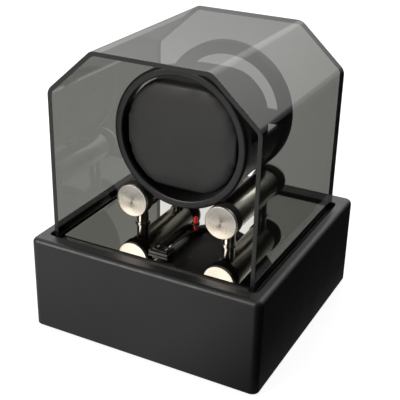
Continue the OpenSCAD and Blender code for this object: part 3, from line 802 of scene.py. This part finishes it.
def tyre_piece(name):
    r, width = wheel_r, 7.0
    grooves = []
    for k in range(5):
        y = 2.0 + 1.3 + k * 1.1
        grooves += [(r, y - 0.22), (r - 0.14, y - 0.06), (r - 0.14, y + 0.06), (r, y + 0.22)]
    profile = [(r - 1.98, 2.02)] + rounded([(r - 1.98, 2.02), (r, 2.02), (r, 3.0)], [0, 0.5, 0], 5, closed=False)[1:-1]
    profile += grooves + rounded([(r, 8.0), (r, 2 + width), (r - 1.98, 2 + width)], [0, 0.5, 0], 5, closed=False)[1:]
    return turn_round(name, profile, "tyre_rubber", 96)


def hub_piece(name, bore):
    r = wheel_r - 2
    outline = [(bore, 3.5), (4.0, 3.5), (4.0, 2.0), (r, 2.0), (r, 9.0), (r - 1.6, 9.0), (r - 2.0, 8.4),
               (4.2, 8.4), (3.8, 9.0), (bore, 9.0)]
    profile = rounded(outline, [0.1, 0, 0.15, 0, 0.15, 0, 0.2, 0.2, 0, 0.1], 3)
    return turn_round(name, profile, "black_plastic", 72)


def wheel_at(x, rear):
    if rear:
        return along_y(x, REAR_CAP[1][1], roller_z, backwards=True)
    return along_y(x, CAP[0][1], roller_z)


def make_wheel(label, body, node, spots):
    """Cap, tyre and hub of the wheels on one body."""
    kinds = (("cap", cap_piece, "spun_steel"), ("tyre", tyre_piece, "tyre_rubber"),
             ("hub", lambda label: hub_piece(label, 1.52), "black_plastic"))
    for kind, shape, slot in kinds:
        parts = []
        for i, (x, rear) in enumerate(spots):
            parts.append(shift(shape(f"{label}_{kind}_{i}"), wheel_at(x, rear)))
        made = joined(f"{label}_{kind}", parts) if len(parts) > 1 else parts[0]
        made.name = f"{label}_{kind}_piece"
        smooth(made, 28 if kind == "cap" else 35)
        fit(made, body, slot, node.format(kind))


make_wheel("drive_wheel", "drive_wheel", "drive_wheel_{}", [(roller_x, False)])
make_wheel("rear_wheel", "rear_wheel", "rear_wheel_{}", [(roller_x, True)])
make_wheel("idler_wheels", "idler_wheels", "idler_wheel_{}s", [(-roller_x, False), (-roller_x, True)])

# ---------------------------------------------------------------- drum

HOOP = box_of("front_hoop")
REAR_HOOP = box_of("rear_hoop")
SHELL = box_of("drum_shell")
drum_z = (HOOP[0][2] + HOOP[1][2]) / 2
hoop_r = (HOOP[1][0] - HOOP[0][0]) / 2
shell_r = SHELL[1][0]


def make_hoop(node, y, profile):
    hoop = shift(turn_round(node + "_ring", profile, "drum_plastic", 192), along_y(0, y, drum_z))
    smooth(hoop, 40)
    fit(hoop, "drum", "drum_plastic", node)


def make_hoops():
    """Both hoops, with the lip of the front one and the shoulder of the rear one that holds the cross bar."""
    seat, front_open, rear_open = shell_r + 0.03, 41.8, 38.6
    l = HOOP[1][1] - HOOP[0][1]
    make_hoop("front_hoop", HOOP[0][1], rounded(
        [(front_open, 0), (hoop_r, 0), (hoop_r, l), (seat, l), (seat, 2.5), (front_open, 2.5)],
        [1.2, 2.0, 0.5, 0.1, 0.1, 0.2], 8))
    l = REAR_HOOP[1][1] - REAR_HOOP[0][1]
    make_hoop("rear_hoop", REAR_HOOP[0][1], rounded(
        [(seat, 0), (hoop_r, 0), (hoop_r, l), (rear_open, l), (rear_open, l - 3), (seat, l - 3)],
        [0.1, 0.6, 1.2, 0.6, 0.1, 0.1], 7))


make_hoops()


def make_shell():
    """The drum's tube. Between the hoops it is open over its upper half, with rounded corners in the cut."""
    y0, l = SHELL[0][1], SHELL[1][1] - SHELL[0][1]
    bore = shell_r - 2.2
    shell = turn_round("drum_shell_tube", [(bore, 0), (shell_r, 0), (shell_r, l), (bore, l)], "drum_plastic", 168)
    shift(shell, along_y(0, y0, drum_z))
    front, rear = HOOP[1][1] + 4, REAR_HOOP[0][1] - 1
    height, corner_r = 80, 3
    cut = rectangle(rear - front, height, corner_r, (front + rear) / 2, height / 2)
    cutter = prism("window", cut, -60, 60, "drum_plastic", edge=0)
    shift(cutter, Matrix(((0, 0, 1, 0), (1, 0, 0, 0), (0, 1, 0, drum_z * MM), (0, 0, 0, 1))))
    carve(shell, cutter)
    b = bmesh.new()
    b.from_mesh(shell.data)
    bmesh.ops.remove_doubles(b, verts=b.verts, dist=0.00002)
    b.to_mesh(shell.data)
    b.free()
    smooth(shell, 40)
    fit(shell, "drum", "drum_plastic", "drum_shell")


make_shell()

# ---------------------------------------------------------------- cushion

PAD = box_of("cushion_pad")
CORE = box_of("cushion_core")


def held_in(points, reach):
    """Points as far from the drum's axis as the reach at most, in metres about the axis."""
    far = np.hypot(points[:, 0], points[:, 2])
    points[:, [0, 2]] *= np.minimum(1, reach * MM / np.maximum(far, 1e-9))[:, None]


def mesh_points(made):
    return np.array([v.co for v in made.data.vertices], float)


def put_points(made, points):
    made.data.vertices.foreach_set("co", points.astype(np.float32).ravel())
    made.data.update()


def inflate(pad):
    """Air pressure swells the pad as cloth for twenty frames."""
    cloth = modify(pad, "CLOTH")
    cloth.settings.use_pressure = True
    cloth.settings.uniform_pressure_force = 4
    cloth.settings.quality = 6
    cloth.settings.mass = 0.3
    cloth.settings.tension_stiffness = cloth.settings.compression_stiffness = 30
    cloth.settings.shear_stiffness = 15
    cloth.settings.bending_stiffness = 2
    cloth.settings.effector_weights.gravity = 0
    cloth.collision_settings.use_collision = False
    cloth.point_cache.frame_start, cloth.point_cache.frame_end = 1, 20
    for frame_number in range(1, 21):
        scene.frame_set(frame_number)
    settle(pad)
    scene.frame_set(1)


def make_cushion():
    """A leather-covered pad that swells a little between its edges, with a space for its core at the back."""
    (x0, y0, z0), (x1, y1, z1) = PAD
    w, h, l = x1 - x0, z1 - z0, y1 - y0
    axis = np.array([0, 0, drum_z * MM])
    inset, corner_r, most_swell, slack = 0.3, 29.7, 1.6, 0.8
    side_swell, top_swell, front_swell, rear_swell = 0.9, 1.1, 0.5, 0.2
    outline = rectangle(w - 2 * inset, h - 2 * inset, corner_r, steps=14)
    pad = prism("cushion_start", outline, 0, l - 2 * inset, "cushion_leather", edge=0)
    shift(pad, Matrix.Translation((0, (y1 - inset) * MM, drum_z * MM)) @ Matrix.Rotation(math.radians(90), 4, "X"))
    modify(pad, "REMESH", mode="VOXEL", voxel_size=2.4 * MM)
    settle(pad)
    rest = mesh_points(pad)
    inflate(pad)
    moved = mesh_points(pad)
    if len(moved) == len(rest):
        step = moved - rest
        far = np.linalg.norm(step, axis=1, keepdims=True)
        moved = rest + step * np.minimum(1, most_swell * MM / np.maximum(far, 1e-9))
    # the pad keeps clear of the hoop round it and of the cross bar behind it
    moved -= axis
    held_in(moved, 41.2)
    moved += axis
    moved[:, 1] = np.clip(moved[:, 1], (y0 - slack) * MM, (y1 + slack) * MM)
    put_points(pad, moved)
    modify(pad, "SMOOTH", factor=0.5, iterations=4)
    modify(pad, "SUBSURF", levels=1, render_levels=1)
    settle(pad)
    # smoothing draws the pad in, so it is brought back to its padded size
    moved = mesh_points(pad) - axis
    moved[:, 0] *= (w / 2 + side_swell) * MM / np.abs(moved[:, 0]).max()
    moved[:, 2] *= (h / 2 + top_swell) * MM / np.abs(moved[:, 2]).max()
    low, high = moved[:, 1].min(), moved[:, 1].max()
    moved[:, 1] = ((y0 - front_swell) * MM
                   + (moved[:, 1] - low) / (high - low) * (l + front_swell + rear_swell) * MM)
    held_in(moved, 41.3)
    put_points(pad, moved + axis)
    play = 0.05
    left, right = CORE[0][0] - play, CORE[1][0] + play
    lower, upper = -CORE[0][2] + play, -CORE[1][2] - play
    socket = prism("core space", [(left, upper), (right, upper), (right, lower), (left, lower)],
                   CORE[0][1] - play, CORE[1][1] + 5, "cushion_leather", edge=0)
    shift(socket, Matrix.Rotation(math.radians(-90), 4, "X"))
    carve(pad, socket)
    pad.name = pad.data.name = "cushion_pad_leather"
    smooth(pad, 50)
    fit(pad, "cushion", "cushion_leather", "cushion_pad")


make_cushion()

# ---------------------------------------------------------------- switch and lamp


def make_switch():
    """The switch's housing, and its rocker with a pivot pin and two plain bars."""
    (x0, y0, _), (x1, y1, top) = SWITCH
    hole_w, hole_d, bottom = 12.1, 7.6, MIRROR - 14
    bezel = prism("switch_bezel", rectangle(x1 - x0, y1 - y0, 1.0, 0, switch_y, 4), MIRROR, top, "switch_plastic",
                  [rectangle(hole_w, hole_d, 0.5, 0, switch_y, 3)], edge=0.45, steps=3)
    body = prism("switch_box", rectangle(13, 8.6, 0.4, 0, switch_y, 3), bottom, MIRROR + 0.4, "switch_plastic",
                 [rectangle(hole_w, hole_d, 0.3, 0, switch_y, 3)], edge=0.2)
    floor = prism("switch_floor", rectangle(12.3, 7.8, 0.3, 0, switch_y, 3), bottom, MIRROR - 6,
                  "switch_plastic", edge=0)
    made = joined("switch_housing", [bezel, body, floor])
    smooth(made, 40)
    fit(made, "base", "switch_plastic", "switch_body")
    pivot_z = 67.2
    outline = rounded([(-5.5, 2.6), (0, 1.3), (5.5, 2.6), (5.5, 0.2), (2.2, -2.6), (-2.2, -2.6), (-5.5, 0.2)],
                      [0.6, 5.0, 0.6, 0.4, 0.5, 0.5, 0.4], 6)
    rocker = prism("rocker", outline, -3.6, 3.6, "switch_plastic", edge=0.3, steps=3)
    shift(rocker, Matrix.Rotation(math.radians(90), 4, "X"))
    pin = rounded([(0, -4.2), (0.8, -4.2), (0.8, 4.2), (0, 4.2)], [0, 0.15, 0.15, 0], 3, closed=False)
    pin = turn_round("pin", pin, "switch_plastic", 28, closed=False)
    shift(pin, Matrix.Rotation(math.radians(90), 4, "X"))
    marks = []
    slope = math.atan2(1.3, 5.5)
    for side in (-1, 1):
        bar = prism("mark", rectangle(0.75, 2.6, 0.3, steps=3), 0, 0.09, "switch_mark", edge=0)
        at = Matrix.Translation((side * 3.0 * MM, 0, (1.3 + 3.0 * math.tan(slope)) * MM))
        marks.append(shift(bar, at @ Matrix.Rotation(-side * slope, 4, "Y")))
    made = joined("switch_rocker_key", [rocker, pin, *marks])
    shift(made, upright(0, switch_y, pivot_z) @ Matrix.Rotation(math.radians(8), 4, "Y"))
    smooth(made, 35)
    fit(made, "rocker", "switch_plastic", "switch_rocker")


make_switch()


def make_lamp():
    """A small domed lamp in its ring."""
    z0, z1 = LED[0][2], LED[1][2]
    r = 1.5
    dome = [(r * math.cos(t), z1 - r + r * math.sin(t)) for t in [math.radians(10 * k) for k in range(9)]]
    profile = [(0, z0), (1.9, z0), (1.9, z0 + 1), (r, z0 + 1), *dome, (0, z1)]
    lamp = turn_round("red_lamp", profile, "lamp_red", 48, closed=False)
    shift(lamp, upright(0, led_y, 0))
    smooth(lamp, 35)
    fit(lamp, "base", "lamp_red", "led_lamp")
    foot, rim = MIRROR - 4.9, MIRROR + 0.8
    outline = [(1.56, foot), (2.1, foot), (2.1, MIRROR), (2.9, MIRROR), (2.9, rim), (1.56, rim)]
    ring = turn_round("lamp_ring", rounded(outline, [0, 0.1, 0, 0, 0.3, 0.2], 4), "black_plastic", 48)
    shift(ring, upright(0, led_y, 0))
    smooth(ring, 35)
    fit(ring, "base", "black_plastic", "led_clip")


make_lamp()

# CAD nodes with crisp edges that stay get a small bevel
for name, width in (("deck_board", 0.25), ("cushion_holder", 0.5), ("circuit_board", 0.15),
                    ("board_components", 0.3), ("battery_tray", 0.4), ("corner_blocks", 0.5),
                    ("cushion_core", 0.4), ("motor_gearbox", 0.3)):
    piece = frame["nodes"][name]
    modify(piece, "WELD", merge_threshold=0.000005)
    modify(piece, "BEVEL", width=width * MM, segments=2, limit_method="ANGLE", angle_limit=math.radians(50))

# ---------------------------------------------------------------- floor, world and lights


def soft_ramp(tree, value, low, high, start=0.0, end=1.0):
    """Runs smoothly from start to end as the value goes from low to high."""
    return wire(tree, "ShaderNodeMapRange", {"Value": value, "From Min": low, "From Max": high,
                                             "To Min": start, "To Max": end},
                interpolation_type="SMOOTHSTEP").outputs[0]


def make_floor():
    """A plain white floor. What the object mirrors of it is dimmer to the right, as beside a dark wall."""
    mesh = bpy.data.meshes.new("floor")
    s, z = 6.0, -0.0002
    mesh.from_pydata([(-s, -s, z), (s, -s, z), (s, s, z), (-s, s, z)], [], [(0, 1, 2, 3)])
    floor = bpy.data.objects.new("floor", mesh)
    scene.collection.objects.link(floor)
    f = Finish("floor_paper", (0.25, 0.25, 0.25), 0.9)
    nodes, links = f.tree.nodes, f.tree.links
    nodes.remove(f.shader)
    at = f.node("ShaderNodeTexCoord").outputs["Object"]
    split = f.node("ShaderNodeSeparateXYZ", {0: at})
    x, y = split.outputs[0], split.outputs[1]
    paper = f.node("ShaderNodeBsdfDiffuse", {"Color": (0.25, 0.25, 0.25, 1)}).outputs[0]
    glow = f.node("ShaderNodeEmission", {"Color": (1, 1, 1, 1), "Strength": 0.88}).outputs[0]
    seen = f.node("ShaderNodeAddShader", {0: paper, 1: glow}).outputs[0]
    # dark to the right of the box, bright in front and to the left
    right = soft_ramp(f.tree, x, 0.0, 0.11, 1.0, 0.03)
    front = soft_ramp(f.tree, y, -0.05, -0.2)
    level = f.maths("MULTIPLY", right, f.maths("ADD", f.maths("MULTIPLY", front, 0.35), 0.5))
    dim = f.node("ShaderNodeEmission", {"Color": (1, 0.99, 0.98, 1), "Strength": level}).outputs[0]
    path = f.node("ShaderNodeLightPath").outputs["Is Camera Ray"]
    mix = f.node("ShaderNodeMixShader", {0: path, 1: dim, 2: seen})
    links.new(mix.outputs[0], nodes["Material Output"].inputs["Surface"])
    mesh.materials.append(f.material)


make_floor()


def make_world():
    """White to the eye. As light it is brightest behind and above, and dark to the right."""
    world = bpy.data.worlds.new("studio")
    scene.world = world
    world.use_nodes = True
    tree = world.node_tree
    tree.nodes.clear()
    out = tree.nodes.new("ShaderNodeOutputWorld")
    at = wire(tree, "ShaderNodeTexCoord").outputs["Generated"]
    split = wire(tree, "ShaderNodeSeparateXYZ", {0: at})
    x, y, z = split.outputs

    def ramp(*args):
        return soft_ramp(tree, *args)

    def times(a, b, operation="MULTIPLY"):
        return wire(tree, "ShaderNodeMath", {0: a, 1: b}, operation=operation).outputs[0]

    rear = times(times(ramp(y, 0.1, 0.65), ramp(z, -0.1, 0.2)), ramp(x, 0.1, 0.8, 1.0, 0.25))
    top = times(ramp(z, 0.6, 0.95), ramp(x, 0.0, 0.6, 1.0, 0.4))
    left = times(ramp(x, -0.2, -0.8), ramp(z, -0.1, 0.3))
    level = times(times(rear, ramp(z, 0.2, 0.52, 0.42, 1.9)), 0.03, "ADD")
    level = times(level, times(top, 0.7), "ADD")
    level = times(level, times(left, 0.45), "ADD")
    light = wire(tree, "ShaderNodeBackground", {"Color": (1.0, 0.995, 0.985, 1), "Strength": level}).outputs[0]
    seen = wire(tree, "ShaderNodeBackground", {"Color": (1, 1, 1, 1), "Strength": 1.0}).outputs[0]
    path = wire(tree, "ShaderNodeLightPath").outputs["Is Camera Ray"]
    mix = wire(tree, "ShaderNodeMixShader", {0: path, 1: light, 2: seen})
    tree.links.new(mix.outputs[0], out.inputs["Surface"])


make_world()


def soft_light(name, at, towards, size, power, colour=(1, 1, 1), spread=180):
    data = bpy.data.lights.new(name, "AREA")
    data.shape = "RECTANGLE"
    data.size, data.size_y = size
    data.energy, data.color = power, colour
    data.spread = math.radians(spread)
    lamp = bpy.data.objects.new(name, data)
    scene.collection.objects.link(lamp)
    lamp.location = at
    lamp.rotation_euler = (Vector(towards) - Vector(at)).to_track_quat("-Z", "Y").to_euler()
    return lamp


# warm key from the front left, and a long soft light over the back
soft_light("key", (-0.55, -0.95, 0.62), (0, 0, 0.12), (0.7, 0.6), 9.0, (1.0, 0.95, 0.88))
soft_light("over_back", (-0.35, 0.55, 0.95), (0, 0, 0.1), (0.9, 0.5), 7.0).visible_glossy = False

scene.view_settings.view_transform = "Standard"
scene.view_settings.look = "None"
scene.cycles.max_bounces = 14
scene.cycles.glossy_bounces = 8
scene.cycles.diffuse_bounces = 4
scene.cycles.transparent_max_bounces = 24
scene.cycles.use_denoising = True
scene.cycles.blur_glossy = 0.3
scene.cycles.sample_clamp_indirect = 6
